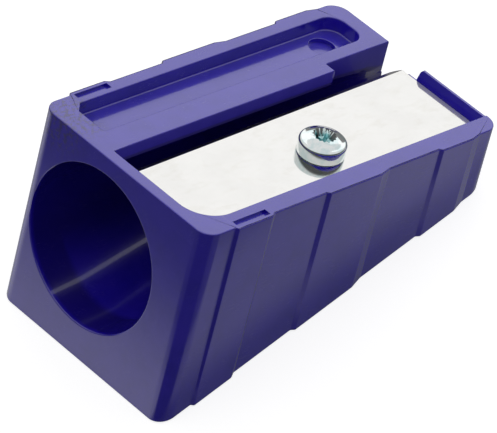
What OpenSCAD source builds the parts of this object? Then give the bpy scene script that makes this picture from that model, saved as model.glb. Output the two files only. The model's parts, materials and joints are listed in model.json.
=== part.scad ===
// One-hole wedge pencil sharpener for thick pencils: a moulded body, a ground steel
// blade on a sunk seat in its top face, and the screw that clamps the blade.
//
// The body stands on its flat underside: +Z is up, +X runs from the pencil hole to
// the small end, and +Y points to the side away from the blade. The top face slopes
// down towards the small end, so most features are drawn square to the top face:
// there x runs along it from the hole face, and z = 0 is the face itself.

/* [Pencil hole] */
// Diameter of the pencil hole at its mouth
hole_d = 16; // [12:0.5:20]
// Straight part of the hole, before its cone starts
entry_length = 2.7; // [2:0.1:6]
// Diameter of the cone where it leaves the small end
tip_d = 4.1; // [3:0.1:5]
// Distance from the top face down to the cone at the small end
tip_roof = 1.4; // [0.8:0.1:2]

/* [Body] */
// Length of the sloping top face, from the hole face to the small end
body_length = 37.7; // [30:0.1:50]
// Wall between the hole and the side away from the blade
far_wall = 1.4; // [1:0.1:3]
// Wall between the hole and the blade side, which carries the screw
near_wall = 4.9; // [4:0.1:8]
// Wall above the hole at its mouth
roof_wall = 1.85; // [1:0.05:4]
// Wall below the hole at its mouth
floor_wall = 3.55; // [1:0.05:6]
// Wall below the cone at the small end
tip_floor = 1.35; // [0.8:0.05:3]
// Radius of the upright corners at the hole end
mouth_corner_r = 1.6; // [0.5:0.1:3]
// Radius of the upright corners at the small end
tail_corner_r = 1.7; // [0.5:0.1:3]

/* [Grip ribs] */
// How far the grip ribs stand proud of the sides
rib_height = 0.3; // [0.1:0.05:0.8]
// Length of the rib at the hole end
first_rib_length = 3.9; // [2:0.1:6]
// Length of the middle rib
middle_rib_length = 6.4; // [3:0.1:9]
// Length of the rib at the small end
last_rib_length = 3.8; // [2:0.1:6]
// Distance from the hole face to the first rib
first_rib_x = 3.45; // [2.5:0.05:5]
// Distance from the last rib to the small end
last_rib_back = 2.75; // [2:0.05:5]

/* [Blade] */
// Thickness of the blade
blade_t = 0.6; // [0.4:0.05:1]
// Depth of the blade's upper side below the top face, at the small end
blade_depth = 1.1; // [0.6:0.05:2]
// Angle between the blade and the top face: the hole end lies deeper
seat_tilt = 0.9; // [0:0.1:2]
// Width of the ground bevel along the cutting edge
bevel_w = 0.87; // [0.5:0.01:1.5]
// Gap all round between the blade and the walls of its recess
blade_gap = 0.1; // [0.05:0.01:0.3]
// Width of the rim between the hole face and the blade recess
front_rim = 1.35; // [0.8:0.05:3]
// Width of the rim along the blade side
side_rim = 1.95; // [1:0.05:3]
// Radius of the recess's inner corner beside the hole face
recess_corner_r = 3.2; // [1:0.1:4]
// Thickness of the lip across the small end
lip_t = 0.75; // [0.6:0.05:1.5]
// Distance from the cutting edge to the lip's free end
lip_back = 2.65; // [1.5:0.05:5]
// How far the lip's top stays below the top face
lip_drop = 0.15; // [0.05:0.05:0.4]
// Width of the slope on the lip's inner side
lip_slope = 0.45; // [0.1:0.05:0.5]

/* [Shavings slot] */
// Width of the slot between the cutting edge and the wall beside it
slot_w = 0.97; // [0.6:0.01:2]
// Length of the wider stretch of the slot, at the small end
notch_length = 8.35; // [4:0.05:12]
// Clearance between the wider stretch's wall and the cone's end
notch_gap = 0.12; // [0:0.01:0.5]

/* [Groove in the top face] */
// Width of the strip between the slot and the groove
strip_w = 2.73; // [1.5:0.01:4]
// Width of the rim between the groove and the far side
far_rim = 1.4; // [0.8:0.05:3]
// Distance from the hole face to the groove
groove_x = 2.55; // [1.5:0.05:4]
// Distance from the groove to the small end
groove_back = 1.8; // [1:0.05:4]
// Depth of the groove
groove_depth = 1.45; // [0.5:0.05:2]

/* [Screw] */
// Distance from the hole face to the screw
screw_x = 20.4; // [16:0.1:24]
// Diameter of the screw's thread
thread_d = 2.5; // [2:0.1:3]
// Clearance between the thread and its hole, on the radius
thread_gap = 0.05; // [0.02:0.01:0.1]
// Clearance between the thread and the blade's hole, on the radius
blade_hole_gap = 0.25; // [0.1:0.05:0.5]
// Length of the thread below the blade
thread_length = 6.4; // [4:0.1:8]
// Wall between the screw's hole and the cone
screw_wall = 0.4; // [0.3:0.05:2]
// Diameter of the screw's head
head_d = 4.6; // [4:0.1:6]
// Height of the screw's head at its rim
head_rim_h = 1.5; // [0.8:0.05:2]
// Rise of the domed top above the head's rim
head_dome_h = 0.6; // [0.1:0.05:0.8]
// Span of the cross recess
cross_span = 2.9; // [1.5:0.1:3.2]
// Width of each arm of the cross recess
cross_w = 0.55; // [0.4:0.05:1]
// Depth of the cross recess below the head's crown
cross_depth = 1.1; // [0.5:0.05:1.3]

/* [Hidden] */
$fn = 96;
eps = 0.01;
beyond = 5;

hole_r = hole_d / 2;
tip_r = tip_d / 2;

// Overall sizes of the wedge, square to its top face
body_width = far_wall + hole_d + near_wall;
side_y = body_width / 2;
mouth_height = roof_wall + hole_d + floor_wall;
tail_height = tip_roof + tip_d + tip_floor;
wedge_angle = atan((mouth_height - tail_height) / body_length);

// The cone's axis, seen from the side
axis_y = side_y - far_wall - hole_r;
mouth_z = -roof_wall - hole_r;
tip_z = -tip_roof - tip_r;
axis_rise = atan((tip_z - mouth_z) / body_length);
axis_length = body_length / cos(axis_rise);
function cone_r(x) = hole_r + (tip_r - hole_r) * (x / cos(axis_rise) - entry_length)
    / (axis_length - entry_length);

// The recess and the blade in it: the cutting edge lies over the cone's axis
edge_y = axis_y;
slot_y = edge_y + slot_w;
notch_x = body_length - notch_length;
notch_y = axis_y + tip_r + notch_gap;
lip_x = body_length - lip_t;
lip_end_y = edge_y - lip_back;
recess_y = -side_y + side_rim;
blade_x0 = front_rim + blade_gap;
blade_x1 = lip_x - blade_gap;
blade_y0 = recess_y + blade_gap;
blade_corner_r = recess_corner_r - blade_gap;
tail_clip_r = 0.9;
seat_z = -blade_depth - blade_t;

// The groove in the top face and the round mark that an ejector pin leaves in it
groove_y0 = slot_y + strip_w;
groove_y1 = side_y - far_rim;
groove_x1 = body_length - groove_back;
groove_far_r = 1.7;
groove_near_r = 1.3;
groove_chamfer = 0.9;
well_r = 1.3;
well_depth = 0.45;
well_x = groove_x1 - 3.15;
well_y = groove_y1 - 2.1;

// The ribs: each rises in a short steep step and falls away in a longer slope
rib_step = 0.5;
rib_slope = 1.2;
last_rib_x = body_length - last_rib_back - rib_slope - last_rib_length - rib_step;
first_rib_end = first_rib_x + rib_step + first_rib_length;
middle_rib_x = (first_rib_end + last_rib_x - middle_rib_length - rib_slope) / 2;
ribs = [
    [first_rib_x, first_rib_length, rib_step],
    [middle_rib_x, middle_rib_length, rib_slope],
    [last_rib_x, last_rib_length, rib_slope],
];
pocket_depth = 0.3;
pocket_y0 = side_y - 0.85;
pocket_y1 = side_y - 0.1;
pocket_start = 0.35;

// The screw
thread_r = thread_d / 2;
screw_hole_r = thread_r + thread_gap;
blade_hole_r = thread_r + blade_hole_gap;
screw_y = axis_y - cone_r(screw_x) - screw_wall - screw_hole_r;
head_r = head_d / 2;
under_head_r = head_r - 0.15;
under_head_h = 0.15;
crown_r = (head_r * head_r + head_dome_h * head_dome_h) / (2 * head_dome_h);
thread_tip_h = 0.6;
screw_hole_spare = 0.6;

// The wedge's own box on the ground, whose middle is the origin
foot_length = body_length * cos(wedge_angle) + mouth_height * sin(wedge_angle);

// Place children drawn square to the top face
module on_top_face() {
    translate([-foot_length / 2, 0, 0])
        rotate([0, wedge_angle, 0])
            translate([0, 0, mouth_height])
                children();
}

// Place children drawn square to the blade's seat, with z = 0 on the seat. The seat
// meets its stated depth at the lip.
module on_seat() {
    on_top_face()
        translate([lip_x, 0, seat_z])
            rotate([0, -seat_tilt, 0])
                translate([-lip_x, 0, 0])
                    children();
}

// What a round corner takes away at (x, y), towards (sx, sy)
module corner_waste(x, y, sx, sy, r) {
    difference() {
        translate([x + sx * (r - eps) / 2, y + sy * (r - eps) / 2])
            square(r + eps, center = true);
        translate([x + sx * r, y + sy * r])
            circle(r);
    }
}

// A rectangle with its own radius at each corner, in the order hole end near side,
// small end near side, small end far side, hole end far side
module plate(x0, x1, y0, y1, radii) {
    corners = [[x0, y0, 1, 1], [x1, y0, -1, 1], [x1, y1, -1, -1], [x0, y1, 1, -1]];
    difference() {
        translate([x0, y0])
            square([x1 - x0, y1 - y0]);
        for (i = [0:3])
            if (radii[i] > 0)
                corner_waste(corners[i][0], corners[i][1], corners[i][2], corners[i][3],
                    radii[i]);
    }
}

// One rib's outline on the far side: start, length of its crest, length of its slope
module rib(x, crest, slope) {
    top = side_y + rib_height;
    polygon([
        [x, side_y - 1],
        [x, side_y],
        [x + rib_step, top],
        [x + rib_step + crest, top],
        [x + rib_step + crest + slope, side_y],
        [x + rib_step + crest + slope, side_y - 1],
    ]);
}

// The body's outside with its ribs, square to the top face and down past the ground
module block() {
    translate([0, 0, -mouth_height - beyond])
        linear_extrude(mouth_height + beyond)
            plate(0, body_length, -side_y, side_y,
                [mouth_corner_r, tail_corner_r, tail_corner_r, mouth_corner_r]);
    for (side = [0, 1])
        mirror([0, side, 0])
            for (r = ribs)
                translate([0, 0, -mouth_height - beyond])
                    linear_extrude(mouth_height + beyond)
                        rib(r[0], r[1], r[2]);
}

// The hole's straight entry, its cone and the way out at the small end
module pencil_hole() {
    translate([0, axis_y, mouth_z])
        rotate([0, 90 - axis_rise, 0]) {
            translate([0, 0, -beyond])
                cylinder(r = hole_r, h = beyond + entry_length);
            translate([0, 0, entry_length])
                cylinder(r1 = hole_r, r2 = tip_r, h = axis_length - entry_length);
            cylinder(r = tip_r, h = axis_length + beyond);
        }
}

// An opening from above the top face down to the cone's axis, drawn on the seat
module slot_down_to_axis(x0, x1, y0, y1) {
    function axis_z(x) = mouth_z + x * tan(axis_rise) - seat_z + (lip_x - x) * tan(seat_tilt);
    translate([0, y1, 0])
        rotate([90, 0, 0])
            linear_extrude(y1 - y0)
                polygon([[x0, beyond], [x0, axis_z(x0)], [x1, axis_z(x1)], [x1, beyond]]);
}

module groove() {
    translate([0, 0, -groove_depth])
        linear_extrude(beyond + groove_depth)
            difference() {
                plate(groove_x, groove_x1, groove_y0, groove_y1,
                    [0, groove_near_r, groove_far_r, 0]);
                translate([groove_x, groove_y1])
                    rotate(45)
                        square(groove_chamfer * sqrt(2), center = true);
            }
    translate([well_x, well_y, -groove_depth - well_depth])
        cylinder(r = well_r, h = beyond);
}

// The shallow pockets beside the first rib, which leave a thin raised lip outside
module pockets() {
    x0 = first_rib_x + pocket_start;
    for (side = [0, 1])
        mirror([0, side, 0])
            translate([x0, pocket_y0, -pocket_depth])
                cube([first_rib_end - x0, pocket_y1 - pocket_y0, beyond]);
}

// What is taken off the lip: the slope on its inner side and a little of its top
module lip_slope_cut() {
    lip_top = -seat_z - lip_drop;
    end_x = body_length + beyond;
    translate([0, lip_end_y + 1, 0])
        rotate([90, 0, 0])
            linear_extrude(lip_end_y + 1 - recess_y)
                polygon([[lip_x - 1, blade_t], [lip_x, blade_t],
                    [lip_x + lip_slope, lip_top], [end_x, lip_top],
                    [end_x, beyond], [lip_x - 1, beyond]]);
}

// The moulded body
module body() {
    color([0.16, 0.13, 0.55])
        difference() {
            on_top_face()
                block();
            translate([-foot_length, -body_width, -2 * mouth_height])
                cube([2 * foot_length, 2 * body_width, 2 * mouth_height]);
            on_top_face() {
                pencil_hole();
                groove();
                pockets();
            }
            on_seat() {
                linear_extrude(beyond)
                    plate(front_rim, lip_x, recess_y, slot_y, [recess_corner_r, 0, 0, 0]);
                translate([lip_x - 1, lip_end_y, 0])
                    cube([lip_t + beyond, notch_y - lip_end_y, beyond]);
                lip_slope_cut();
                slot_down_to_axis(front_rim, body_length, edge_y, slot_y);
                slot_down_to_axis(notch_x, body_length + beyond, edge_y, notch_y);
                translate([screw_x, screw_y, -thread_length - screw_hole_spare])
                    cylinder(r = screw_hole_r, h = thread_length + screw_hole_spare + 1);
            }
        }
}

// The steel blade, ground to a bevel along its cutting edge
module blade() {
    color([0.93, 0.93, 0.92])
        on_seat()
            difference() {
                linear_extrude(blade_t)
                    plate(blade_x0, blade_x1, blade_y0, edge_y,
                        [blade_corner_r, 0, tail_clip_r, 0]);
                translate([0, edge_y, 0])
                    rotate([90, 0, 90])
                        linear_extrude(2 * body_length)
                            polygon([[0, 0], [0, blade_t + 1], [-bevel_w, blade_t + 1],
                                [-bevel_w, blade_t]]);
                translate([screw_x, screw_y, -1])
                    cylinder(r = blade_hole_r, h = blade_t + 2);
            }
}

// The screw: a domed head with a cross recess, and its thread as a plain shank
module screw() {
    crown = head_rim_h + head_dome_h;
    color([0.72, 0.76, 0.80])
        on_seat()
            translate([screw_x, screw_y, blade_t])
                difference() {
                    union() {
                        cylinder(r1 = under_head_r, r2 = head_r, h = under_head_h);
                        translate([0, 0, under_head_h])
                            cylinder(r = head_r, h = head_rim_h - under_head_h);
                        intersection() {
                            translate([0, 0, head_rim_h - eps])
                                cylinder(r = head_r, h = head_dome_h + 1);
                            translate([0, 0, crown - crown_r])
                                sphere(crown_r);
                        }
                        translate([0, 0, -blade_t - thread_length + thread_tip_h])
                            cylinder(r = thread_r, h = blade_t + thread_length);
                        translate([0, 0, -blade_t - thread_length])
                            cylinder(r1 = thread_r / 2, r2 = thread_r, h = thread_tip_h);
                    }
                    for (a = [0, 90])
                        rotate(a)
                            translate([-cross_span / 2, -cross_w / 2, crown - cross_depth])
                                cube([cross_span, cross_w, cross_depth + 1]);
                }
}

body();
blade();
screw();
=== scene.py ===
"""A wedge pencil sharpener: moulded body, ground steel blade and clamping screw."""

import json
import math
from contextlib import contextmanager
from types import SimpleNamespace

import bmesh
import bpy
from bpy.props import FloatProperty, FloatVectorProperty, PointerProperty
from mathutils import Matrix, Vector


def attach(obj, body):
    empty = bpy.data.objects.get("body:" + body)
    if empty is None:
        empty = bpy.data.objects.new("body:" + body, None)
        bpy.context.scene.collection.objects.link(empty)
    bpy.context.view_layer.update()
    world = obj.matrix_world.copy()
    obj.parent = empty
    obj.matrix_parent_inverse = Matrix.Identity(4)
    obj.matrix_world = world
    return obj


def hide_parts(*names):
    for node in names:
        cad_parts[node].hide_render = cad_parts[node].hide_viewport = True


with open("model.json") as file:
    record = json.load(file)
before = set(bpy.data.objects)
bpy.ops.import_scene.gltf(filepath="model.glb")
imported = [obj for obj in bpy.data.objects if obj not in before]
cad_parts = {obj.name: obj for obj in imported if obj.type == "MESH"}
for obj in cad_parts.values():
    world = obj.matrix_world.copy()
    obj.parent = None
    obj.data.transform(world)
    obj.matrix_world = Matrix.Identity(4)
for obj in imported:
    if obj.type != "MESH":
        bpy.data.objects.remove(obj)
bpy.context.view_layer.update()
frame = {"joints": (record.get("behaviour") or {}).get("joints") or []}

bl_info = {
    "name": "Wedge Pencil Sharpener",
    "version": (1, 0, 0),
    "blender": (4, 5, 0),
    "location": "View3D > Sidebar > Sharpener",
    "description": "Models a one-hole wedge pencil sharpener, its finishes and a plain studio",
    "category": "Object",
}

MM = 0.001          # pieces are modelled in millimetres and placed in metres
AIR = 5.0           # how far a cutter stands out past what it cuts, in millimetres
NEAR = 0.01         # how near two places are to count as one, in millimetres
SMOOTH_ANGLE = 32   # faces that turn by less than this, in degrees, are shaded as one
FLUTES = 16         # flutes round the pit of the screw's recess
CROSS_TURN = 20     # how the cross stands at rest, in degrees
THREAD_STEPS = 36   # steps in one turn of the thread
FLOOR_SIZE = 6      # side of the square floor, in metres
FLOOR_GAP = 0.00005     # from the floor up to the body, in metres


# ---------------------------------------------------------------- sizes


def length(name, description, millimetres):
    """A size that a user can change, kept in metres."""
    return FloatProperty(name=name, description=description, default=millimetres * MM,
                         unit="LENGTH", subtype="DISTANCE", precision=5)


def tone(name, description, rgb):
    """A colour that a user can change."""
    return FloatVectorProperty(name=name, description=description, default=rgb,
                               subtype="COLOR", size=3, min=0, max=1)


def keys_of(group):
    """The names of a property group's own settings."""
    return [k for k in group.bl_rna.properties.keys() if k not in ("rna_type", "name")]


def tones_of(group):
    """The colours of a property group, as plain tuples."""
    return SimpleNamespace(**{k: tuple(getattr(group, k)) for k in keys_of(group)})


def in_millimetres(group):
    """The lengths of a property group, in millimetres."""
    return SimpleNamespace(**{k: getattr(group, k) / MM for k in keys_of(group)})


class BodySizes(bpy.types.PropertyGroup):
    """Sizes of the moulded body."""
    hole_d: length("Hole", "Diameter of the pencil hole at its mouth", 16)
    entry: length("Straight entry", "Straight part of the hole before its cone", 2.7)
    tip_d: length("Cone end", "Diameter of the cone at the small end", 4.1)
    tip_roof: length("Cone end depth", "From the top face down to the cone's end", 1.4)
    top_length: length("Top face", "Length of the sloping top face", 37.7)
    far_wall: length("Far wall", "Wall between the hole and the far side", 1.4)
    near_wall: length("Blade wall", "Wall between the hole and the blade side", 4.9)
    roof_wall: length("Roof", "Wall above the hole at its mouth", 1.85)
    floor_wall: length("Floor", "Wall below the hole at its mouth", 3.55)
    tip_floor: length("End floor", "Wall below the cone's end", 1.35)
    mouth_corner: length("Hole-end corners", "Radius of the corners at the hole end", 1.6)
    tail_corner: length("Small-end corners", "Radius of the corners at the small end", 1.7)
    front_rim: length("Front rim", "Rim between the hole face and the blade recess", 1.35)
    side_rim: length("Side rim", "Rim along the blade side", 1.95)
    recess_corner: length("Recess corner", "Radius of the recess's inner corner", 3.2)
    lip_t: length("Lip", "Thickness of the lip across the small end", 0.75)
    lip_back: length("Lip end", "From the cutting edge to the lip's free end", 2.65)
    lip_drop: length("Lip drop", "How far the lip stays below the top face", 0.15)
    lip_slope: length("Lip slope", "How far the lip's inner face leans back", 0.45)
    lip_r: length("Lip rounding", "Rounding of the lip's free end", 0.3)
    slot_w: length("Slot", "Width of the shavings slot at the cutting edge", 0.97)
    notch: length("Notch", "Length of the slot's wider stretch", 8.35)
    notch_gap: length("Notch gap", "From the cone's end to the notch's wall", 0.12)
    strip_w: length("Strip", "Width of the strip between slot and groove", 2.73)
    far_rim: length("Far rim", "Rim between the groove and the far side", 1.4)
    groove_x: length("Groove start", "From the hole face to the groove", 2.55)
    groove_back: length("Groove end", "From the groove to the small end", 1.8)
    groove_depth: length("Groove depth", "Depth of the groove", 1.45)
    rib_height: length("Rib height", "How far the grip ribs stand proud", 0.3)
    pocket_depth: length("Pocket depth", "Depth of the pockets at the first ribs", 0.3)
    well_r: length("Ejector mark", "Radius of the ejector mark in the groove", 1.3)
    well_depth: length("Ejector mark depth", "Depth of the ejector mark", 0.45)
    edge_r: length("Edge rounding", "Rounding of the moulded edges", 0.13)
    rib_edge_r: length("Rib rounding", "Rounding of the ribs' upright edges", 0.07)


class BladeSizes(bpy.types.PropertyGroup):
    """Sizes of the blade and the seat that it lies on."""
    thick: length("Thickness", "Thickness of the blade", 0.6)
    depth: length("Depth", "Blade's top below the top face, at the small end", 1.1)
    bevel: length("Bevel", "Width of the ground bevel", 0.87)
    gap: length("Gap", "Gap between the blade and its recess", 0.1)
    tail_clip: length("Free corner", "Radius of the corner beyond the lip", 0.9)
    hole_gap: length("Hole gap", "Clearance round the screw, on the radius", 0.25)


class ScrewSizes(bpy.types.PropertyGroup):
    """Sizes of the clamping screw."""
    thread_d: length("Thread", "Outer diameter of the thread", 2.5)
    core_d: length("Core", "Diameter at the thread's root", 1.9)
    pitch: length("Pitch", "Rise of the thread in one turn", 0.8)
    length: length("Length", "Length of the thread below the blade", 6.4)
    head_d: length("Head", "Diameter of the head", 4.6)
    rim_h: length("Rim height", "Height of the head at its rim", 1.5)
    dome_h: length("Dome", "Rise of the dome above the rim", 0.6)
    rim_r: length("Rim rounding", "Rounding of the head's rim", 0.45)
    cross_span: length("Cross", "Span of the cross recess", 2.9)
    cross_w: length("Cross arm", "Width of each arm of the cross", 0.55)
    cross_depth: length("Cross depth", "Depth of the cross below the crown", 1.1)
    pit_r: length("Pit", "Radius of the fluted pit at the crown", 1.36)
    pit_floor_r: length("Pit floor", "Radius of the fluted pit at its floor", 0.7)
    pit_depth: length("Pit depth", "Depth of the fluted pit", 0.8)


class Finishes(bpy.types.PropertyGroup):
    """Colours of the three materials."""
    plastic: tone("Plastic", "Colour of the moulded body", (0.021, 0.009, 0.47))
    deep: tone("Plastic, deeper", "Deeper tone in the moulded body", (0.013, 0.005, 0.41))
    warm: tone("Plastic, flow marks", "Tone of the flow marks", (0.031, 0.014, 0.50))
    blade: tone("Blade", "Colour of the ground steel", (0.79, 0.785, 0.77))
    blade_dull: tone("Blade, duller", "Duller patches of the steel", (0.76, 0.755, 0.74))
    screw: tone("Screw", "Colour of the zinc plating", (0.86, 0.89, 0.89))
    screw_cast: tone("Screw, cast", "Blue-green cast of the plating", (0.68, 0.80, 0.81))


class Studio(bpy.types.PropertyGroup):
    """The camera's place and the level of the lights."""
    azimuth: FloatProperty(name="Azimuth", description="Camera's turn about the object",
                           default=math.radians(-37.973), subtype="ANGLE")
    elevation: FloatProperty(name="Elevation", description="Camera's height as an angle",
                             default=math.radians(49.488), subtype="ANGLE")
    roll: FloatProperty(name="Roll", description="Camera's turn about its own axis",
                        default=math.radians(-5.595), subtype="ANGLE")
    distance: length("Distance", "From the camera to its aim", 460.85)
    aim: FloatVectorProperty(name="Aim", description="Point that the camera looks at",
                             default=(-0.000305, 0, 0.002462), subtype="XYZ", size=3)
    lens: FloatProperty(name="Lens", description="Focal length, in millimetres",
                        default=362.2)
    sky_high: FloatProperty(name="Sky", description="Level of the light overhead",
                            default=0.78, min=0)
    sky_low: FloatProperty(name="Sky, dim part", description="Level near the horizon",
                           default=0.10, min=0)
    sky_towards: FloatVectorProperty(name="Sky, bright side", size=3, subtype="XYZ",
                                     description="Where the sky is brightest",
                                     default=(0.5, 0.25, 1.0))
    box_level: FloatProperty(name="Soft box", description="Brightness of the soft box",
                             default=0.36, min=0)
    box_size: length("Soft box size", "Side of the square soft box", 600)
    box_distance: length("Soft box distance", "From the object to the soft box", 450)
    box_towards: FloatVectorProperty(name="Soft box direction", size=3, subtype="XYZ",
                                     description="Where the soft box stands",
                                     default=(0.807, 0.512, 0.294))
    floor: FloatProperty(name="Floor", description="How pale the floor is",
                         default=0.5, min=0, max=1)
    floor_lift: FloatProperty(name="Floor, lift", description="Glow that whitens the floor",
                              default=0.78, min=0)


# ---------------------------------------------------------------- layout


class Layout:
    """Places that follow from the sizes, in millimetres, square to the top face:
    x runs along it from the hole face, y towards the far side, and z = 0 is the face."""

    def __init__(self, scene):
        self.body = b = in_millimetres(scene.sharpener_body)
        self.blade = k = in_millimetres(scene.sharpener_blade)
        self.screw = in_millimetres(scene.sharpener_screw)
        self.side = (b.far_wall + b.hole_d + b.near_wall) / 2
        self.mouth_height = b.roof_wall + b.hole_d + b.floor_wall
        self.tail_height = b.tip_roof + b.tip_d + b.tip_floor
        self.wedge = math.atan((self.mouth_height - self.tail_height) / b.top_length)
        self.hole_r = b.hole_d / 2
        self.tip_r = b.tip_d / 2
        self.axis_y = self.side - b.far_wall - self.hole_r
        self.mouth_z = -b.roof_wall - self.hole_r
        self.tip_z = -b.tip_roof - self.tip_r
        self.rise = math.atan((self.tip_z - self.mouth_z) / b.top_length)
        self.axis_length = b.top_length / math.cos(self.rise)
        self.slot_y = self.axis_y + b.slot_w
        self.notch_x = b.top_length - b.notch
        self.notch_y = self.axis_y + self.tip_r + b.notch_gap
        self.lip_x = b.top_length - b.lip_t
        self.lip_end = self.axis_y - b.lip_back
        self.recess_y = -self.side + b.side_rim
        self.seat_z = -k.depth - k.thick
        self.foot = b.top_length * math.cos(self.wedge) + self.mouth_height * math.sin(
            self.wedge)
        # the seat's normal, and so its tilt, is the way the blade lifts
        lift = next(j for j in frame["joints"] if j["name"] == "blade_lift")
        turn = next(j for j in frame["joints"] if j["name"] == "screw_turn")
        self.lean = math.atan2(lift["axis"][0], lift["axis"][2])
        self.on_top = (Matrix.Translation((-self.foot / 2, 0, 0))
                       @ Matrix.Rotation(self.wedge, 4, "Y")
                       @ Matrix.Translation((0, 0, self.mouth_height)))
        self.tilt = self.wedge - self.lean
        self.on_seat = (self.on_top @ Matrix.Translation((self.lip_x, 0, self.seat_z))
                        @ Matrix.Rotation(-self.tilt, 4, "Y")
                        @ Matrix.Translation((-self.lip_x, 0, 0)))
        # the seat's frame, seen from the top face's frame
        self.seat_from_top = self.on_top.inverted() @ self.on_seat
        screw_at = self.on_seat.inverted() @ (Vector(turn["pos_m"]) / MM)
        self.screw_x, self.screw_y = screw_at.x, screw_at.y

    def ribs(self):
        """Each rib's foot, start of crest, end of crest and far foot, along x."""
        first_foot, last_gap = 3.45, 2.75
        first_crest, middle_crest, last_crest = 3.9, 6.4, 3.8
        step, slope = 0.5, 1.2
        first_rise, other_rise = 0.2, 0.32
        first_end = first_foot + step + first_crest
        last = self.body.top_length - last_gap - slope - last_crest - step
        middle_foot = (first_end + last - middle_crest - slope) / 2
        ribs = [(first_foot, first_foot + first_rise, first_end, first_end + step)]
        for foot, crest in ((middle_foot, middle_crest), (last, last_crest)):
            end = foot + step + crest
            ribs.append((foot, foot + other_rise, end, end + slope))
        return ribs


# ---------------------------------------------------------------- modelling


def only(obj):
    """Make this the one selected and active object."""
    bpy.ops.object.select_all(action="DESELECT")
    obj.select_set(True)
    bpy.context.view_layer.objects.active = obj


@contextmanager
def shaping(obj):
    """Edit mode on one object, with nothing in it selected."""
    only(obj)
    bpy.ops.object.mode_set(mode="EDIT")
    bpy.ops.mesh.select_all(action="DESELECT")
    yield
    bpy.ops.object.mode_set(mode="OBJECT")


def pick(kind, test):
    """Select the vertices, edges or faces of the edited mesh that pass a test."""
    bpy.ops.mesh.select_mode(type=kind)
    bpy.ops.mesh.select_all(action="DESELECT")
    mesh = bpy.context.object.data
    shape = bmesh.from_edit_mesh(mesh)
    parts = {"VERT": shape.verts, "EDGE": shape.edges, "FACE": shape.faces}[kind]
    chosen = [p for p in parts if test(p)]
    for p in chosen:
        p.select_set(True)
    bmesh.update_edit_mesh(mesh)
    return len(chosen)


def middle(part):
    """The middle of an edge or face."""
    return sum((v.co for v in part.verts), Vector()) / len(part.verts)


def along(edge):
    """The way an edge runs, as a unit vector."""
    return (edge.verts[1].co - edge.verts[0].co).normalized()


def upright(edge):
    """True for an edge that runs along z."""
    return abs(along(edge).z) > 0.99


def upright_at(edge, x, y):
    """True for an edge that stands at this place in x and y."""
    return upright(edge) and (middle(edge).xy - Vector((x, y))).length < NEAR


def sharp(edge, degrees):
    """True for an edge between two faces that turn by more than this."""
    return len(edge.link_faces) == 2 and edge.calc_face_angle(0) > math.radians(degrees)


def round_edges(width, segments=3):
    """Round the selected edges of the edited mesh."""
    bpy.ops.mesh.bevel(offset=width, segments=segments, affect="EDGES", profile=0.5,
                       clamp_overlap=False)


def block(name, low, high):
    """A box between two corners."""
    bpy.ops.object.select_all(action="DESELECT")
    low, high = Vector(low), Vector(high)
    bpy.ops.mesh.primitive_cube_add(size=1, location=(low + high) / 2, scale=high - low)
    obj = bpy.context.object
    obj.name = name
    bpy.ops.object.transform_apply(location=True, rotation=True, scale=True)
    return obj


def lathe_rod(name, stations, at=(0, 0), sides=96):
    """A round rod along z through (height, radius) stations, at an x and y."""
    bpy.ops.object.select_all(action="DESELECT")
    height, radius = stations[0]
    bpy.ops.mesh.primitive_circle_add(vertices=sides, radius=radius, fill_type="NGON",
                                      location=(at[0], at[1], height))
    obj = bpy.context.object
    obj.name = name
    bpy.ops.object.transform_apply(location=True, rotation=False, scale=False)
    with shaping(obj):
        bpy.ops.mesh.select_all(action="SELECT")
        for (z0, r0), (z1, r1) in zip(stations, stations[1:]):
            bpy.ops.mesh.extrude_region_move(TRANSFORM_OT_translate={"value": (0, 0, z1 - z0)})
            bpy.ops.transform.resize(value=(r1 / r0, r1 / r0, 1),
                                     center_override=(at[0], at[1], z1))
        bpy.ops.mesh.select_all(action="SELECT")
        bpy.ops.mesh.normals_make_consistent(inside=False)
    return obj


def place(obj, matrix):
    """Turn and move an object by a matrix, and keep the result in its mesh."""
    only(obj)
    obj.matrix_world = matrix
    bpy.ops.object.transform_apply(location=True, rotation=True, scale=True)


def cut(obj, *cutters, operation="DIFFERENCE"):
    """Cut objects out of a shape, or join them to it, and remove them."""
    for cutter in cutters:
        knife = obj.modifiers.new("cut", "BOOLEAN")
        knife.operation = operation
        knife.solver = "EXACT"
        knife.object = cutter
        only(obj)
        bpy.ops.object.modifier_apply(modifier=knife.name)
        bpy.data.objects.remove(cutter)


def merge_doubled(obj):
    """Merge the vertices that a cut leaves doubled."""
    with shaping(obj):
        bpy.ops.mesh.select_all(action="SELECT")
        bpy.ops.mesh.remove_doubles(threshold=0.002)


def split_across(obj, at, axes="xy"):
    """Split a shape's faces by planes through a point, so that a hole cut there later
    ends on whole edges."""
    with shaping(obj):
        for axis in axes:
            way = [float(axis == name) for name in "xyz"]
            bpy.ops.mesh.select_all(action="SELECT")
            bpy.ops.mesh.bisect(plane_co=at, plane_no=way)


def finish_piece(obj, name, matrix, body, node, material):
    """Place a modelled piece on the frame, shade it and hand it over."""
    with shaping(obj):
        bpy.ops.mesh.select_all(action="SELECT")
        bpy.ops.mesh.normals_make_consistent(inside=False)
    place(obj, Matrix.Scale(MM, 4) @ matrix)
    only(obj)
    bpy.ops.object.shade_smooth_by_angle(angle=math.radians(SMOOTH_ANGLE))
    flat = obj.modifiers.new("flat faces", "WEIGHTED_NORMAL")
    flat.keep_sharp = True
    flat.weight = 100   # broad faces alone decide the shading at a rounded edge
    bpy.ops.object.modifier_apply(modifier=flat.name)
    obj.name = name
    obj.data.name = name
    obj.data.materials.clear()
    obj.data.materials.append(material)
    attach(obj, body)
    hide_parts(node)
    return obj


# ---------------------------------------------------------------- the body


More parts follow.
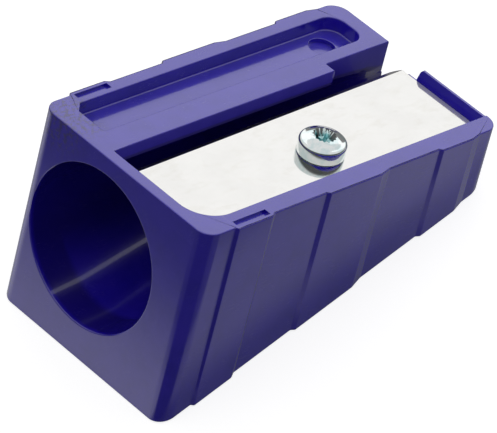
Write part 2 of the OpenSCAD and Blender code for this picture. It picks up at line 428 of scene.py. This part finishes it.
def wedge_block(lay):
    """The outer wedge, with its ribs and round upright corners."""
    b = lay.body
    obj = block("moulded_body", (0, -lay.side, -lay.mouth_height - AIR),
                (b.top_length, lay.side, 0))
    with shaping(obj):
        for rib in lay.ribs():
            for x in rib:
                bpy.ops.mesh.select_all(action="SELECT")
                bpy.ops.mesh.bisect(plane_co=(x, 0, 0), plane_no=(1, 0, 0))
        crests = [(rib[1], rib[2]) for rib in lay.ribs()]
        for way in (-1, 1):
            pick("FACE", lambda f: f.normal.y * way > 0.99 and any(
                low < middle(f).x < high for low, high in crests))
            bpy.ops.transform.translate(value=(0, way * b.rib_height, 0))
        for x, radius in ((0, b.mouth_corner), (b.top_length, b.tail_corner)):
            pick("EDGE", lambda e: upright(e) and abs(middle(e).x - x) < NEAR
                 and abs(abs(middle(e).y) - lay.side) < NEAR)
            round_edges(radius, segments=16)
        stations = [x for rib in lay.ribs() for x in rib]
        pick("EDGE", lambda e: upright(e) and abs(middle(e).y) > lay.side - NEAR
             and any(abs(middle(e).x - x) < NEAR for x in stations))
        round_edges(b.rib_edge_r, segments=2)
        down = lay.on_top.inverted()
        ground, up = down @ Vector((0, 0, 0)), down.to_3x3() @ Vector((0, 0, 1))
        bpy.ops.mesh.select_all(action="SELECT")
        bpy.ops.mesh.bisect(plane_co=ground, plane_no=up, use_fill=True, clear_inner=True)
        pick("EDGE", lambda e: sharp(e, 40)
             and all(abs((v.co - ground).dot(up)) < NEAR for v in e.verts))
        round_edges(b.edge_r, segments=3)
    return obj


def hole_cutter(lay):
    """The pencil hole with its cone, lying along its axis."""
    obj = lathe_rod("hole", [(-AIR, lay.hole_r), (lay.body.entry, lay.hole_r),
                             (lay.axis_length, lay.tip_r),
                             (lay.axis_length + AIR, lay.tip_r)], sides=128)
    place(obj, Matrix.Translation((0, lay.axis_y, lay.mouth_z))
          @ Matrix.Rotation(math.pi / 2 - lay.rise, 4, "Y"))
    return obj


def well_place(lay):
    """Where the ejector mark lies on the groove's floor, in x and y."""
    b = lay.body
    from_end, from_side = 3.15, 2.1
    return (b.top_length - b.groove_back - from_end, lay.side - b.far_rim - from_side)


def groove_cutter(lay):
    """The groove in the top face, round at its small end and along its floor."""
    b = lay.body
    x0, x1 = b.groove_x, b.top_length - b.groove_back
    y0, y1 = lay.slot_y + b.strip_w, lay.side - b.far_rim
    obj = block("groove", (x0, y0, -b.groove_depth), (x1, y1, AIR))
    corners = ((x1, y1, 1.7, 8), (x1, y0, 1.3, 8), (x0, y1, 0.9, 1), (x0, y0, 0.25, 3))
    floor_r = 0.18
    with shaping(obj):
        for x, y, radius, segments in corners:
            pick("EDGE", lambda e: upright_at(e, x, y))
            round_edges(radius, segments)
        pick("FACE", lambda f: f.normal.z < -0.99)
        bpy.ops.mesh.region_to_loop()
        round_edges(floor_r, 3)
    split_across(obj, (*well_place(lay), 0))
    return obj


def lip_cutter(lay):
    """What lies above the lip: level over its outer edge, sloping at its inner face."""
    b = lay.body
    lip_top = -lay.seat_z - b.lip_drop
    obj = block("lip_room", (lay.lip_x - 1, lay.recess_y, lay.blade.thick),
                (b.top_length + AIR, lay.lip_end + 1, AIR))
    with shaping(obj):
        for x in (lay.lip_x, lay.lip_x + b.lip_slope):
            bpy.ops.mesh.select_all(action="SELECT")
            bpy.ops.mesh.bisect(plane_co=(x, 0, 0), plane_no=(1, 0, 0))
        pick("VERT", lambda v: v.co.x > lay.lip_x + b.lip_slope - NEAR
             and v.co.z < lip_top)
        bpy.ops.transform.translate(value=(0, 0, lip_top - lay.blade.thick))
    place(obj, lay.seat_from_top)
    return obj


def recess_cutter(lay):
    """The blade's recess down to its seat, drawn on the seat."""
    b = lay.body
    obj = block("recess", (b.front_rim, lay.recess_y, 0), (lay.lip_x, lay.slot_y, AIR))
    with shaping(obj):
        pick("EDGE", lambda e: upright_at(e, b.front_rim, lay.recess_y))
        round_edges(b.recess_corner, segments=16)
    split_across(obj, (lay.screw_x, lay.screw_y, 0))
    place(obj, lay.seat_from_top)
    return obj


def slot_cutters(lay):
    """The shavings slot and its wider stretch, down to the cone's axis."""
    b = lay.body

    def down_to_axis(name, x0, x1, y0, y1):
        obj = block(name, (x0, y0, -AIR), (x1, y1, AIR))
        seat_to_top = lay.seat_from_top.inverted()
        with shaping(obj):
            for x in (x0, x1):
                axis = seat_to_top @ Vector((x, 0, lay.mouth_z + x * math.tan(lay.rise)))
                pick("VERT", lambda v: v.co.z < 0 and abs(v.co.x - x) < NEAR)
                bpy.ops.transform.translate(value=(0, 0, axis.z + AIR))
        place(obj, lay.seat_from_top)
        return obj

    end = block("end_opening", (lay.lip_x - 1, lay.lip_end, 0),
                (b.top_length + AIR, lay.notch_y, AIR))
    place(end, lay.seat_from_top)
    return [
        down_to_axis("slot", b.front_rim, b.top_length, lay.axis_y, lay.slot_y),
        down_to_axis("notch", lay.notch_x, b.top_length + AIR, lay.axis_y, lay.notch_y),
        end,
    ]


def pocket_cutters(lay):
    """The shallow pockets beside the first rib, one on each side."""
    foot, _, crest_end, _ = lay.ribs()[0]
    x0, x1 = foot + 0.35, crest_end - 0.03
    low, high = lay.side - 0.85, lay.side - 0.1
    return [block("pocket", (x0, min(way * low, way * high), -lay.body.pocket_depth),
                  (x1, max(way * low, way * high), AIR)) for way in (-1, 1)]


def make_body(lay):
    """The moulded body."""
    b, s = lay.body, lay.screw
    thread_gap, past_tip, above_floor = 0.05, 0.6, 0.3
    obj = wedge_block(lay)
    split_across(obj, (0, lay.axis_y, lay.mouth_z), "yz")
    cut(obj, hole_cutter(lay), groove_cutter(lay), recess_cutter(lay))
    cut(obj, *slot_cutters(lay))
    cut(obj, *pocket_cutters(lay))
    well = lathe_rod("ejector_mark", [(-b.groove_depth - b.well_depth, b.well_r),
                                      (-b.groove_depth + above_floor, b.well_r)],
                     at=well_place(lay), sides=48)
    hole_r = s.thread_d / 2 + thread_gap
    screw_hole = lathe_rod("screw_hole", [(-s.length - past_tip, hole_r), (1, hole_r)],
                           at=(lay.screw_x, lay.screw_y), sides=40)
    place(screw_hole, lay.seat_from_top)
    cut(obj, lip_cutter(lay), well, screw_hole)
    merge_doubled(obj)
    round_body_edges(obj, lay)
    return obj


def round_body_edges(obj, lay):
    """Round the edges that a mould leaves: the lip's free end most, the rest a little.
    The pockets' rims stay sharp."""
    b = lay.body
    well_at = Vector(well_place(lay))
    foot, _, crest_end, _ = lay.ribs()[0]
    well_rim_r = 0.07

    def at_pocket(p):
        return (abs(p.z) < NEAR and foot + 0.3 < p.x < crest_end + NEAR
                and lay.side - 0.9 < abs(p.y) < lay.side - 0.05)

    def on_outer_face(e):
        ends = [v.co for v in e.verts]
        if not sharp(e, 40) or all(at_pocket(p) for p in ends):
            return False
        return (all(abs(p.z) < NEAR for p in ends) or all(abs(p.x) < NEAR for p in ends)
                or all(abs(p.x - b.top_length) < NEAR and p.z > -b.lip_drop - 0.05
                       for p in ends))

    def at_lip_end(e):
        return sharp(e, 25) and all(
            abs(v.co.y - lay.lip_end) < NEAR and v.co.x > lay.lip_x - 0.1
            and v.co.z > lay.seat_z + 0.65 for v in e.verts)

    def well_rim(e):
        return sharp(e, 60) and all(
            abs(v.co.z + b.groove_depth) < NEAR
            and (v.co.xy - well_at).length < b.well_r + 0.05 for v in e.verts)

    with shaping(obj):
        pick("EDGE", at_lip_end)
        round_edges(b.lip_r, 4)
        pick("EDGE", on_outer_face)
        round_edges(b.edge_r, 3)
        pick("EDGE", well_rim)
        round_edges(well_rim_r, 2)


# ---------------------------------------------------------------- blade


def make_blade(lay):
    """The blade, with its ground bevel, lying on its seat."""
    b, k = lay.body, lay.blade
    edge_r = 0.035
    low = (b.front_rim + k.gap, lay.recess_y + k.gap, 0)
    high = (lay.lip_x - k.gap, lay.axis_y, k.thick)
    obj = block("blade", low, high)
    with shaping(obj):
        for x, y, radius, segments in ((low[0], low[1], b.recess_corner - k.gap, 12),
                                       (high[0], high[1], k.tail_clip, 6)):
            pick("EDGE", lambda e: upright_at(e, x, y))
            round_edges(radius, segments)
        normal = Vector((0, k.thick, k.bevel)).normalized()
        bpy.ops.mesh.select_all(action="SELECT")
        bpy.ops.mesh.bisect(plane_co=(0, high[1], 0), plane_no=normal, use_fill=True,
                            clear_outer=True)
    hole_r = lay.screw.thread_d / 2 + k.hole_gap
    split_across(obj, (lay.screw_x, lay.screw_y, 0))
    cut(obj, lathe_rod("blade_hole", [(-1, hole_r), (2, hole_r)],
                       at=(lay.screw_x, lay.screw_y), sides=48))
    with shaping(obj):
        pick("EDGE", lambda e: sharp(e, 20) and middle(e).y < lay.axis_y - 0.1
             and abs(middle(e).z - k.thick) < NEAR)
        round_edges(edge_r, 2)
    return obj


# ---------------------------------------------------------------- screw


def head_stations(s):
    """Heights and radii up the head: its lower edge, its round rim and its dome."""
    head_r = s.head_d / 2
    stations = [(0, head_r - 0.15), (0.04, head_r - 0.06), (0.15, head_r)]
    for degrees in range(0, 90, 10):
        angle = math.radians(degrees)
        stations.append((s.rim_h - s.rim_r * (1 - math.sin(angle)),
                         head_r - s.rim_r * (1 - math.cos(angle))))
    foot_z, foot_r = stations[-1]
    crown = s.rim_h + s.dome_h
    for r in (1.7, 1.45, 1.2, 0.9, 0.6, 0.3, 0.04):
        stations.append((crown - (crown - foot_z) * (r / foot_r) ** 2, r))
    return stations


def fluted_pit(lay, at):
    """A cutter for the pit of the recess, whose wall is fluted."""
    s = lay.screw
    crown = lay.blade.thick + s.rim_h + s.dome_h
    slope = (s.pit_r - s.pit_floor_r) / s.pit_depth
    point_depth, point_r, above = 0.18, 0.12, 0.3
    flute = 0.84    # radius of a ridge between two flutes, as a share of theirs
    obj = lathe_rod("pit", [(crown - s.pit_depth - point_depth, point_r),
                            (crown - s.pit_depth, s.pit_floor_r),
                            (crown + above, s.pit_r + above * slope)],
                    at=at, sides=FLUTES * 2)

    def between_flutes(v):
        flat = v.co.xy - Vector(at)
        turn = math.atan2(flat.y, flat.x) / math.pi * FLUTES
        return flat.length > 2 * point_r and round(turn) % 2 == 1

    with shaping(obj):
        pick("VERT", between_flutes)
        bpy.ops.transform.resize(value=(flute, flute, 1), center_override=(*at, crown))
    return obj


def cross_arms(lay, at):
    """Cutters for the cross: four deep arms, and a fine tick between each two."""
    s = lay.screw
    crown = lay.blade.thick + s.rim_h + s.dome_h
    arm = (s.cross_span, s.cross_w, s.cross_depth)
    tick = (s.cross_span * 1.02, 0.12, 0.42)
    taper = (0.5, 0.7, 1)   # an arm's bottom, as shares of its length and width
    arms = []
    for turn, (span, width, depth) in ((0, arm), (90, arm), (45, tick), (135, tick)):
        arm_block = block("arm", (-span / 2, -width / 2, -depth), (span / 2, width / 2, 1))
        with shaping(arm_block):
            pick("VERT", lambda v: v.co.z < 0)
            bpy.ops.transform.resize(value=taper, center_override=(0, 0, 0))
        place(arm_block, Matrix.Translation((*at, crown))
              @ Matrix.Rotation(math.radians(turn + CROSS_TURN), 4, "Z"))
        arms.append(arm_block)
    return arms


def thread_ridge(lay, at):
    """The thread's ridge, which winds down the shank as one closed strip."""
    s = lay.screw
    sunk = 0.12         # how far the ridge's root lies inside the core
    plain_end = 1.2     # stretch at the tip with no thread
    first_turn = -0.5   # height at which the ridge starts
    foot_share = 0.82   # the ridge's width at its root, as a share of the pitch
    crest_share = 0.14  # and at its crest, as a share of that
    root, crest = s.core_d / 2 - sunk, s.thread_d / 2
    bpy.ops.object.select_all(action="DESELECT")
    bpy.ops.mesh.primitive_plane_add(size=1, rotation=(math.pi / 2, 0, 0))
    obj = bpy.context.object
    obj.name = "ridge"
    bpy.ops.object.transform_apply(location=True, rotation=True, scale=True)
    with shaping(obj):
        bpy.ops.mesh.select_all(action="SELECT")
        bpy.ops.transform.resize(value=(crest - root, 1, s.pitch * foot_share),
                                 center_override=(0, 0, 0))
        bpy.ops.transform.translate(value=((crest + root) / 2, 0, 0))
        pick("VERT", lambda v: v.co.x > (crest + root) / 2)
        bpy.ops.transform.resize(value=(1, 1, crest_share), center_override=(0, 0, 0))
        bpy.ops.mesh.select_all(action="SELECT")
        bpy.ops.mesh.delete(type="ONLY_FACE")
    wind = obj.modifiers.new("wind", "SCREW")
    wind.axis = "Z"
    wind.steps = wind.render_steps = THREAD_STEPS
    wind.iterations = int((s.length - plain_end) / s.pitch)
    wind.screw_offset = -s.pitch
    wind.use_merge_vertices = False
    only(obj)
    bpy.ops.object.modifier_apply(modifier=wind.name)
    with shaping(obj):
        bpy.ops.mesh.select_all(action="SELECT")
        bpy.ops.mesh.fill_holes(sides=0)
        bpy.ops.mesh.select_all(action="SELECT")
        bpy.ops.mesh.normals_make_consistent(inside=False)
    place(obj, Matrix.Translation((*at, first_turn)))
    return obj


def make_screw(lay):
    """The pan-head screw with its cross recess and thread."""
    s = lay.screw
    at = (lay.screw_x, lay.screw_y)
    top = lay.blade.thick
    core_r, neck_r = s.core_d / 2, s.thread_d / 2 - 0.02
    obj = lathe_rod("screw", [(z + top, r) for z, r in head_stations(s)], at=at, sides=96)
    cut(obj, fluted_pit(lay, at), *cross_arms(lay, at))
    # a blunt point, the core under the thread, and a plain neck in the blade's hole
    shank = lathe_rod("shank", [(-s.length, core_r * 0.4), (-s.length + 0.25, core_r * 0.72),
                                (-s.length + 0.7, core_r), (-0.15, core_r),
                                (0.1, neck_r), (top + 0.1, neck_r)], at=at, sides=48)
    cut(shank, thread_ridge(lay, at), operation="UNION")
    cut(obj, shank, operation="UNION")
    return obj


# ---------------------------------------------------------------- finishes


class Term:
    """A value or colour from a node, which can take part in a sum."""

    def __init__(self, paint, socket):
        self.paint = paint
        self.socket = socket

    def maths(self, operation, first, second=0.0):
        return self.paint.node("ShaderNodeMath", {"operation": operation},
                               {0: first, 1: second})

    def __add__(self, other):
        return self.maths("ADD", self, other)

    def __sub__(self, other):
        return self.maths("SUBTRACT", self, other)

    def __rsub__(self, other):
        return self.maths("SUBTRACT", other, self)

    def __mul__(self, other):
        return self.maths("MULTIPLY", self, other)

    def __pow__(self, other):
        return self.maths("POWER", self, other)

    def __abs__(self):
        return self.maths("ABSOLUTE", self)

    __radd__ = __add__
    __rmul__ = __mul__

    def step(self, low, high):
        """0 below low, 1 above high, and smooth between."""
        return self.paint.node("ShaderNodeMapRange", {"interpolation_type": "SMOOTHSTEP"},
                               {"Value": self, "From Min": low, "From Max": high})


class Paint:
    """A node tree that is written as expressions."""

    def __init__(self, tree):
        self.tree = tree

    def node(self, kind, settings=None, sockets=None, out=0):
        """Any node: its settings are set first, and then its sockets are fed."""
        made = self.tree.nodes.new(kind)
        for key, value in (settings or {}).items():
            setattr(made, key, value)
        for key, value in (sockets or {}).items():
            self.feed(made.inputs[key], value)
        return Term(self, made.outputs[out])

    def feed(self, socket, value):
        """Link a term to a socket, or set a plain value on it."""
        if isinstance(value, Term):
            self.tree.links.new(value.socket, socket)
        else:
            socket.default_value = value

    def mix(self, share, first, second):
        """One colour over another, by a share from 0 to 1."""
        first, second = ((*c, 1) if isinstance(c, tuple) else c for c in (first, second))
        return self.node("ShaderNodeMix", {"data_type": "RGBA"},
                         {0: share, 6: first, 7: second}, out=2)

    def split(self, where):
        """The x, y and z of coordinates."""
        node = self.node("ShaderNodeSeparateXYZ", None, {0: where}).socket.node
        return [Term(self, socket) for socket in node.outputs]

    def number_of(self, operation, first, second=(0, 0, 0)):
        """A plain number from vectors: a distance, a length or a product."""
        return self.node("ShaderNodeVectorMath", {"operation": operation},
                         {0: first, 1: second}, out="Value")

    def stretch(self, where, scale):
        """Coordinates scaled by a factor along each axis."""
        return self.node("ShaderNodeVectorMath", {"operation": "MULTIPLY"},
                         {0: where, 1: scale})

    def noise(self, where, scale, detail=3.0, rough=0.5):
        """Cloudy values from 0 to 1, a scale of 1 being a millimetre or so."""
        return self.node("ShaderNodeTexNoise", None,
                         {"Vector": where, "Scale": scale, "Detail": detail,
                          "Roughness": rough})


class Finish(Paint):
    """A material on one Principled shader, patterned in millimetres on the piece."""

    def __init__(self, name, matrix):
        self.material = bpy.data.materials.new(name)
        self.material.use_nodes = True
        super().__init__(self.material.node_tree)
        self.shader = self.tree.nodes["Principled BSDF"]
        place, turn, _ = matrix.decompose()
        here = self.node("ShaderNodeTexCoord", out="Object")
        self.where = self.node("ShaderNodeMapping", {"vector_type": "TEXTURE"},
                               {"Vector": here, "Location": place * MM,
                                "Rotation": turn.to_euler(), "Scale": (MM, MM, MM)})
        self.x, self.y, self.z = self.split(self.where)

    def set(self, **values):
        """Set sockets of the shader, named with _ for each space."""
        for key, value in values.items():
            name = key.replace("_", " ").title().replace("Ior", "IOR")
            if isinstance(value, tuple):
                value = (*value, 1)
            self.feed(self.shader.inputs[name], value)

    def bump(self, height, depth):
        """Turn a height from 0 to 1 into relief of a depth in millimetres."""
        normal = self.node("ShaderNodeBump", None,
                           {"Height": height, "Strength": 1.0, "Distance": depth * MM})
        self.feed(self.shader.inputs["Normal"], normal)

    def near(self, x, y, z, reach):
        """1 at a point, falling to 0 at a reach from it."""
        away = self.number_of("DISTANCE", self.where, (x, y, z))
        return 1 - away.step(reach * 0.35, reach)


def painted_bore_shade(paint, lay, drop, across):
    """1 just inside the wall of the bore and its cone, which is painted darker as shade."""
    b = lay.body
    taper = (lay.hole_r - lay.tip_r) / (b.top_length - b.entry)
    bore_r = paint.node("ShaderNodeMath", {"operation": "MINIMUM"},
                        {0: lay.hole_r - (paint.x - b.entry) * taper, 1: lay.hole_r})
    from_axis = (drop * drop + across * across) ** 0.5
    return (1 - (from_axis - bore_r).step(0.12, 0.3)) * paint.x.step(0.12, 0.6)


def unpolished_walls(paint, lay, drop):
    """1 on the side walls of the slot and its notch, which the mould leaves dull."""
    b = lay.body
    slot_wall = (1 - abs(paint.y - lay.slot_y).step(0.03, 0.08)) * (
        paint.x.step(b.front_rim - 0.1, b.front_rim)) * (
        1 - paint.x.step(lay.notch_x - 0.3, lay.notch_x))
    notch_wall = (1 - abs(paint.y - lay.notch_y).step(0.03, 0.08)) * (
        paint.x.step(lay.notch_x - 0.1, lay.notch_x)) * 0.75
    below_top = 1 - paint.z.step(-0.12, -0.02)
    above_axis = drop.step(0.5, 1)
    return (slot_wall + notch_wall) * below_top * above_axis


def plastic_finish(lay, tones):
    """Glossy moulded plastic: flow marks, fine grain, light scuffs, a scraped corner,
    painted shade in the bore and dull walls in the slot."""
    paint = Finish("moulded_plastic", lay.on_top)
    scuff_tone = (0.20, 0.19, 0.50)
    mark_tone = (0.004, 0.002, 0.12)
    # dark blue of the painted shade inside the bore
    bore_shade_tone = (0.006, 0.003, 0.07)
    # how far above the bore's axis, and how far to its side
    drop = (paint.z - lay.mouth_z) - paint.x * math.tan(lay.rise)
    across = paint.y - lay.axis_y
    flow = paint.noise(paint.stretch(paint.where, (0.12, 0.3, 0.3)), 1.0, 3.0)
    cloud = paint.noise(paint.where, 0.35, 4.0, 0.6)
    grain = paint.noise(paint.where, 9.0, 3.0, 0.6)
    scratch = paint.noise(paint.stretch(paint.where, (0.5, 9.0, 9.0)), 1.0, 2.0)
    scratch_line = 1 - abs(scratch - 0.5).step(0.0, 0.012)
    scuffs = scratch_line * paint.noise(paint.where, 0.5, 2.0).step(0.52, 0.62)
    corner = paint.near(1.5, lay.side - 2.6, 0, 4.6)
    marks = corner * paint.noise(paint.where, 2.2, 4.0, 0.65).step(0.46, 0.6)
    bore_shade = painted_bore_shade(paint, lay, drop, across)
    dull = unpolished_walls(paint, lay, drop)
    shade = paint.mix(cloud.step(0.35, 0.7), tones.plastic, tones.deep)
    shade = paint.mix(flow.step(0.45, 0.75) * 0.35, shade, tones.warm)
    shade = paint.mix(scuffs * 0.05, shade, scuff_tone)
    shade = paint.mix(marks * 0.8, shade, mark_tone)
    # painted shade: the wall of the bore is painted darker
    shade = paint.mix(bore_shade * (0.45 + flow * 0.3), shade, bore_shade_tone)
    paint.set(base_color=shade, ior=1.62, specular_tint=(1.0, 0.90, 0.95),
              coat_weight=0.85 - dull * 0.85, coat_roughness=0.05, coat_ior=1.58,
              roughness=0.15 + cloud * 0.12 + scuffs * 0.12 + marks * 0.12 + dull * 0.45)
    paint.bump(grain * 0.35 + flow * 0.9 + marks * 0.8, 0.006)
    return paint.material


def blade_finish(lay, tones):
    """Ground steel: fine lines along the flat, crossed lines on the ground bevel."""
    paint = Finish("blade_steel", lay.on_seat)
    bevel_y = lay.axis_y - lay.blade.bevel
    smudge_tone, bevel_tone = (0.66, 0.64, 0.58), (0.42, 0.40, 0.43)
    patches = paint.noise(paint.where, 0.28, 4.0, 0.6)
    lines = paint.noise(paint.stretch(paint.where, (0.25, 22.0, 1.0)), 1.0, 3.0, 0.6)
    across = paint.noise(paint.stretch(paint.where, (26.0, 0.5, 0.5)), 1.0, 3.0, 0.6)
    bevel = paint.y.step(bevel_y - 0.01, bevel_y + 0.02)
    smudge = paint.noise(paint.stretch(paint.where, (0.5, 0.9, 1.0)), 1.0, 3.0).step(0.5, 0.72)
    shade = paint.mix(patches.step(0.35, 0.7), tones.blade, tones.blade_dull)
    shade = paint.mix(smudge * 0.22, shade, smudge_tone)
    shade = paint.mix(bevel * (0.45 + across * 0.3), shade, bevel_tone)
    height = paint.mix(bevel, lines, across)
    paint.set(base_color=shade, metallic=1.0,
              roughness=0.045 + patches * 0.03 + lines * 0.02 + bevel * 0.16 + smudge * 0.05)
    paint.bump(height, 0.0006)
    return paint.material


def screw_finish(lay, tones):
    """Bright zinc plating with a blue-green cast, deeper inside the recess."""
    paint = Finish("screw_steel", lay.on_seat @ Matrix.Translation(
        (lay.screw_x, lay.screw_y, lay.blade.thick)))
    rim_h, reach = lay.screw.rim_h, lay.screw.cross_span / 2
    recess_tone = (0.22, 0.50, 0.52)
    cast = paint.noise(paint.where, 1.1, 3.0, 0.6)
    pits = paint.noise(paint.where, 14.0, 3.0, 0.6)
    out = paint.number_of("LENGTH", paint.stretch(paint.where, (1, 1, 0)))
    inside = (1 - out.step(reach - 0.15, reach + 0.1)) * (
        1 - paint.z.step(rim_h - 0.1, rim_h + 0.22))
    shade = paint.mix(cast.step(0.4, 0.65), tones.screw, tones.screw_cast)
    shade = paint.mix(inside * 0.75, shade, recess_tone)
    paint.set(base_color=shade, metallic=1.0, roughness=0.03 + pits * 0.06 + inside * 0.04)
    paint.bump(pits * 0.5 + cast, 0.004)
    return paint.material


# ---------------------------------------------------------------- operators


class SHARPENER_OT_body(bpy.types.Operator):
    """Model the moulded body"""
    bl_idname = "sharpener.body"
    bl_label = "Moulded Body"

    def execute(self, context):
        lay = Layout(context.scene)
        tones = tones_of(context.scene.sharpener_finishes)
        finish_piece(make_body(lay), "moulded_body", lay.on_top, "body", "body",
                     plastic_finish(lay, tones))
        return {"FINISHED"}


class SHARPENER_OT_blade(bpy.types.Operator):
    """Model the ground steel blade"""
    bl_idname = "sharpener.blade"
    bl_label = "Blade"

    def execute(self, context):
        lay = Layout(context.scene)
        tones = tones_of(context.scene.sharpener_finishes)
        finish_piece(make_blade(lay), "steel_blade", lay.on_seat, "blade", "blade",
                     blade_finish(lay, tones))
        return {"FINISHED"}


class SHARPENER_OT_screw(bpy.types.Operator):
    """Model the clamping screw"""
    bl_idname = "sharpener.screw"
    bl_label = "Clamping Screw"

    def execute(self, context):
        lay = Layout(context.scene)
        tones = tones_of(context.scene.sharpener_finishes)
        finish_piece(make_screw(lay), "clamp_screw", lay.on_seat, "screw", "screw",
                     screw_finish(lay, tones))
        return {"FINISHED"}


class SHARPENER_OT_stage(bpy.types.Operator):
    """Set up the floor, the lights and the camera"""
    bl_idname = "sharpener.stage"
    bl_label = "Studio"

    def execute(self, context):
        studio = context.scene.sharpener_studio
        bpy.ops.object.select_all(action="DESELECT")
        bpy.ops.mesh.primitive_plane_add(size=FLOOR_SIZE, location=(0, 0, -FLOOR_GAP))
        floor = bpy.context.object
        floor.name = "floor"
        floor.data.materials.append(floor_finish(studio))
        context.scene.world = sky(studio)
        soft_box(context.scene, studio)
        place_camera(context.scene, studio)
        context.scene.view_settings.view_transform = "Standard"
        return {"FINISHED"}


def floor_finish(studio):
    """Pale paper, which the camera sees as white with the shadow kept, and which gloss and
    metal see as a painted map of light and shade.
    """
    material = bpy.data.materials.new("floor")
    material.use_nodes = True
    paint = Paint(material.node_tree)
    paint.tree.nodes.clear()
    paper = paint.node("ShaderNodeBsdfDiffuse", None,
                       {"Color": (studio.floor, studio.floor, studio.floor, 1)})
    lift = paint.node("ShaderNodeEmission", None, {"Color": (1, 1, 1, 1),
                                                   "Strength": studio.floor_lift})
    white = paint.node("ShaderNodeAddShader", None, {0: paper, 1: lift})
    rays = paint.node("ShaderNodeLightPath", out="Is Camera Ray")
    glossy = Term(paint, rays.socket.node.outputs["Is Glossy Ray"])
    # gloss and metal see the paper as a painted glow of light and shade
    painted_reflection = paint.node("ShaderNodeEmission", None,
                          {"Color": (1, 1, 1, 1), "Strength": painted_floor_level(paint)})
    shown = paint.node("ShaderNodeMixShader", None, {0: glossy, 1: paper, 2: painted_reflection})
    shown = paint.node("ShaderNodeMixShader", None, {0: rays, 1: shown, 2: white})
    result = paint.tree.nodes.new("ShaderNodeOutputMaterial")
    paint.feed(result.inputs["Surface"], shown)
    return material


def painted_floor_level(paint):
    """How bright gloss and metal see the paper: a painted map of light and shade with four
    parts, behind the body, to the left of its hole face, in front of its blade side, and the
    corner between them. Places are in metres."""
    x, y, _ = paint.split(paint.node("ShaderNodeTexCoord", out="Object"))
    left, near, right = 0 - x, 0 - y, x
    past_left = left.step(0.0205, 0.0225)
    past_near = near.step(0.0090, 0.0105)
    behind = 0.42 - right.step(0.012, 0.03) * 0.2
    at_left = 0.78 - left.step(0.020, 0.062) * 0.66
    # painted shadow: in front of the blade side the paper is darker close to the body
    in_front = (0.14 + near.step(0.012, 0.0165) * 0.20 - near.step(0.0215, 0.026) * 0.2
                + right.step(0.0, 0.02) * 0.14)
    # painted shadow: the front left corner is nearly black
    at_corner = 0.06

    def between(share, first, second):
        return first + (second - first) * share

    return between(past_near, between(past_left, behind, at_left),
                   between(past_left, in_front, at_corner))


def sky(studio):
    """A plain dim sky, bright on the side that the studio names."""
    world = bpy.data.worlds.new("studio")
    world.use_nodes = True
    paint = Paint(world.node_tree)
    way = paint.node("ShaderNodeTexCoord", out="Generated")
    rise = paint.number_of("DOT_PRODUCT", way, Vector(studio.sky_towards).normalized())
    level = paint.mix(rise.step(0.34, 0.5), (studio.sky_low,) * 3, (studio.sky_high,) * 3)
    back = world.node_tree.nodes["Background"]
    paint.feed(back.inputs["Color"], level)
    back.inputs["Strength"].default_value = 1
    return world


def soft_box(scene, studio):
    """One wide lamp, whose reflection gives the top faces their sheen."""
    lamp = bpy.data.lights.new("softbox", "AREA")
    lamp.shape = "RECTANGLE"
    lamp.size = lamp.size_y = studio.box_size
    lamp.energy = studio.box_level * math.pi * studio.box_size ** 2
    obj = bpy.data.objects.new("softbox", lamp)
    scene.collection.objects.link(obj)
    way = Vector(studio.box_towards).normalized()
    obj.location = way * studio.box_distance
    obj.rotation_euler = way.to_track_quat("Z", "Y").to_euler()


def place_camera(scene, studio):
    """Aim a long lens at the object from the studio's angles."""
    az, el = studio.azimuth, studio.elevation
    back = Vector((math.sin(az) * math.cos(el), -math.cos(az) * math.cos(el), math.sin(el)))
    right = Vector((math.cos(az), math.sin(az), 0))
    up = back.cross(right)
    axes = Matrix((right, up, back)).transposed() @ Matrix.Rotation(studio.roll, 3, "Z")
    cam = bpy.data.cameras.new("camera")
    cam.sensor_width = 36
    cam.lens = studio.lens
    cam.clip_start = 0.01
    cam.clip_end = 20
    obj = bpy.data.objects.new("camera", cam)
    scene.collection.objects.link(obj)
    eye = Vector(studio.aim) + back * studio.distance
    obj.matrix_world = Matrix.Translation(eye) @ axes.to_4x4()
    scene.camera = obj


class SHARPENER_PT_panel(bpy.types.Panel):
    """The sharpener's pieces and sizes"""
    bl_label = "Pencil Sharpener"
    bl_space_type = "VIEW_3D"
    bl_region_type = "UI"
    bl_category = "Sharpener"

    def draw(self, context):
        for op in OPERATORS:
            self.layout.operator(op.bl_idname)
        for attribute in GROUPS:
            group = getattr(context.scene, attribute)
            box = self.layout.box()
            box.label(text=group.bl_rna.name)
            for key in keys_of(group):
                box.prop(group, key)


OPERATORS = (SHARPENER_OT_body, SHARPENER_OT_blade, SHARPENER_OT_screw,
             SHARPENER_OT_stage)
GROUPS = {
    "sharpener_body": BodySizes,
    "sharpener_blade": BladeSizes,
    "sharpener_screw": ScrewSizes,
    "sharpener_finishes": Finishes,
    "sharpener_studio": Studio,
}


def register():
    for cls in (*GROUPS.values(), *OPERATORS, SHARPENER_PT_panel):
        bpy.utils.register_class(cls)
    for attribute, cls in GROUPS.items():
        setattr(bpy.types.Scene, attribute, PointerProperty(type=cls))


def unregister():
    for attribute in GROUPS:
        delattr(bpy.types.Scene, attribute)
    for cls in reversed((*GROUPS.values(), *OPERATORS, SHARPENER_PT_panel)):
        bpy.utils.unregister_class(cls)


def main():
    register()
    bpy.ops.sharpener.stage()
    bpy.ops.sharpener.body()
    bpy.ops.sharpener.blade()
    bpy.ops.sharpener.screw()


if __name__ == "__main__":
    main()
